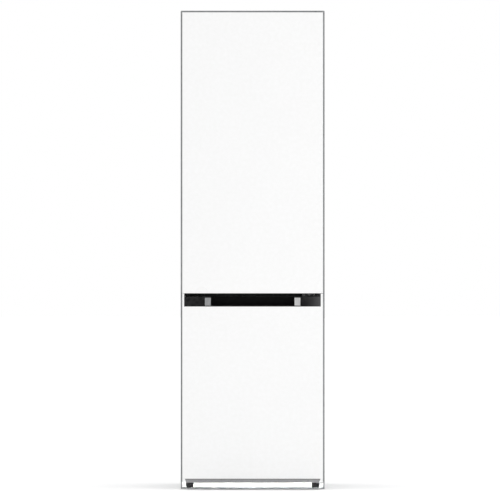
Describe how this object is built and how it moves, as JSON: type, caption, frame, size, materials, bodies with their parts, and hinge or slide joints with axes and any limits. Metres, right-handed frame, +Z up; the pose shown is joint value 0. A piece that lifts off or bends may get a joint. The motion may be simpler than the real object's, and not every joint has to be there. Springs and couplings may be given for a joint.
{
  "type": "refrigerator",
  "caption": "Tall free-standing fridge-freezer with a fridge door above, a freezer door below and a black grip recess between them, both hinged on the right.",
  "frame": {"origin": "on the floor under the middle of the overall box", "axes": "+Z up, -Y out of the doors, +X towards the hinge side"},
  "size_m": [0.6, 0.66, 1.995],
  "materials": {
    "silver_paint": "satin",
    "white_paint": "satin",
    "white_plastic": "satin",
    "black_plastic": "satin",
    "grey_plastic": "matte",
    "satin_aluminium": "satin",
    "zinc_steel": "satin",
    "black_steel": "semi-gloss",
    "bright_screw": "polished",
    "foam": "matte",
    "seal_rubber": "matte",
    "mount_rubber": "matte",
    "shelf_glass": "polished",
    "clear_plastic": "clear",
    "lamp_plastic": "frosted",
    "coil_black": "matte"
  },
  "bodies": {
    "cabinet": {"side_panel_left": "silver_paint", "side_panel_right": "silver_paint", "top_panel": "silver_paint", "face_frame": "white_paint", "cabinet_foam": "foam", "fridge_liner": "white_plastic", "freezer_liner": "white_plastic", "rear_panel": "zinc_steel", "base_plate": "zinc_steel", "base_rail": "silver_paint", "kick_plate": "white_plastic", "beam_cover": "black_plastic", "centre_hinge": "black_steel", "top_hinge": "silver_paint", "bottom_hinge": "white_paint", "hinge_screws": "bright_screw", "crisper_cover_shelf": "shelf_glass", "glass_shelf_1": "shelf_glass", "glass_shelf_2": "shelf_glass", "glass_shelf_3": "shelf_glass", "fridge_air_duct": "white_plastic", "lamp_lens": "lamp_plastic", "freezer_shelves": "shelf_glass", "freezer_air_cover": "white_plastic", "evaporator": "satin_aluminium", "evaporator_fan_motor": "zinc_steel", "compressor_tray": "zinc_steel", "compressor": "black_steel", "compressor_mounts": "mount_rubber", "condenser_coil": "coil_black", "rear_grille": "zinc_steel", "power_inlet": "black_plastic", "control_box": "white_plastic"},
    "upper_door": {"upper_door_panel": "white_paint", "upper_door_bottom_cap": "white_plastic", "upper_door_top_cap": "white_plastic", "upper_door_foam": "foam", "upper_door_liner": "white_plastic", "upper_door_seal": "seal_rubber"},
    "lower_door": {"lower_door_panel": "white_paint", "lower_door_foam": "foam", "lower_door_liner": "white_plastic", "lower_door_seal": "seal_rubber", "handle_cap": "black_plastic", "foot_cap": "grey_plastic", "grip_plates": "satin_aluminium"},
    "door_bin_1": {"door_bin_1": "clear_plastic"},
    "door_bin_2": {"door_bin_2": "clear_plastic"},
    "door_bin_3": {"door_bin_3": "clear_plastic"},
    "door_bin_4": {"door_bin_4": "clear_plastic"},
    "crisper_left": {"crisper_left": "clear_plastic"},
    "crisper_right": {"crisper_right": "clear_plastic"},
    "freezer_drawer_bottom": {"freezer_drawer_bottom": "clear_plastic"},
    "freezer_drawer_middle": {"freezer_drawer_middle": "clear_plastic"},
    "freezer_drawer_top": {"freezer_drawer_top": "clear_plastic"},
    "front_foot_left": {"front_foot_left": "mount_rubber"},
    "front_foot_right": {"front_foot_right": "mount_rubber"},
    "rear_roller_left": {"rear_roller_left": "mount_rubber"},
    "rear_roller_right": {"rear_roller_right": "mount_rubber"},
    "evaporator_fan": {"evaporator_fan": "white_plastic"}
  },
  "joints": [
    {"name": "upper_door_hinge", "type": "hinge", "parent": "cabinet", "child": "upper_door", "pos_m": [0.28, -0.3, 1.4], "axis": [0, 0, 1], "range_deg": [0, 115]},
    {"name": "lower_door_hinge", "type": "hinge", "parent": "cabinet", "child": "lower_door", "pos_m": [0.28, -0.3, 0.42], "axis": [0, 0, 1], "range_deg": [0, 115]},
    {"name": "door_bin_1_lift", "type": "slide", "parent": "upper_door", "child": "door_bin_1", "axis": [0, 0, 1], "range_m": [0, 0.03]},
    {"name": "door_bin_2_lift", "type": "slide", "parent": "upper_door", "child": "door_bin_2", "axis": [0, 0, 1], "range_m": [0, 0.03]},
    {"name": "door_bin_3_lift", "type": "slide", "parent": "upper_door", "child": "door_bin_3", "axis": [0, 0, 1], "range_m": [0, 0.03]},
    {"name": "door_bin_4_lift", "type": "slide", "parent": "upper_door", "child": "door_bin_4", "axis": [0, 0, 1], "range_m": [0, 0.03]},
    {"name": "crisper_left_slide", "type": "slide", "parent": "cabinet", "child": "crisper_left", "axis": [0, -1, 0], "range_m": [0, 0.3]},
    {"name": "crisper_right_slide", "type": "slide", "parent": "cabinet", "child": "crisper_right", "axis": [0, -1, 0], "range_m": [0, 0.3]},
    {"name": "freezer_drawer_bottom_slide", "type": "slide", "parent": "cabinet", "child": "freezer_drawer_bottom", "axis": [0, -1, 0], "range_m": [0, 0.22]},
    {"name": "freezer_drawer_middle_slide", "type": "slide", "parent": "cabinet", "child": "freezer_drawer_middle", "axis": [0, -1, 0], "range_m": [0, 0.33]},
    {"name": "freezer_drawer_top_slide", "type": "slide", "parent": "cabinet", "child": "freezer_drawer_top", "axis": [0, -1, 0], "range_m": [0, 0.33]},
    {"name": "front_foot_left_turn", "type": "hinge", "parent": "cabinet", "child": "front_foot_left", "pos_m": [-0.262, -0.242, 0.012], "axis": [0, 0, 1], "continuous": true},
    {"name": "front_foot_right_turn", "type": "hinge", "parent": "cabinet", "child": "front_foot_right", "pos_m": [0.262, -0.242, 0.012], "axis": [0, 0, 1], "continuous": true},
    {"name": "rear_roller_left_turn", "type": "hinge", "parent": "cabinet", "child": "rear_roller_left", "pos_m": [-0.24, 0.3, 0.014], "axis": [1, 0, 0], "continuous": true},
    {"name": "rear_roller_right_turn", "type": "hinge", "parent": "cabinet", "child": "rear_roller_right", "pos_m": [0.24, 0.3, 0.014], "axis": [1, 0, 0], "continuous": true},
    {"name": "evaporator_fan_turn", "type": "hinge", "parent": "cabinet", "child": "evaporator_fan", "pos_m": [0, 0.2395, 0.718], "axis": [0, 1, 0], "continuous": true}
  ],
  "couplings": [
    {"joint": "crisper_left_slide", "follows": "upper_door_hinge", "m_per_rad": 0.1},
    {"joint": "crisper_right_slide", "follows": "upper_door_hinge", "m_per_rad": 0.1},
    {"joint": "freezer_drawer_bottom_slide", "follows": "lower_door_hinge", "m_per_rad": 0.065},
    {"joint": "freezer_drawer_middle_slide", "follows": "lower_door_hinge", "m_per_rad": 0.065},
    {"joint": "freezer_drawer_top_slide", "follows": "lower_door_hinge", "m_per_rad": 0.065}
  ]
}
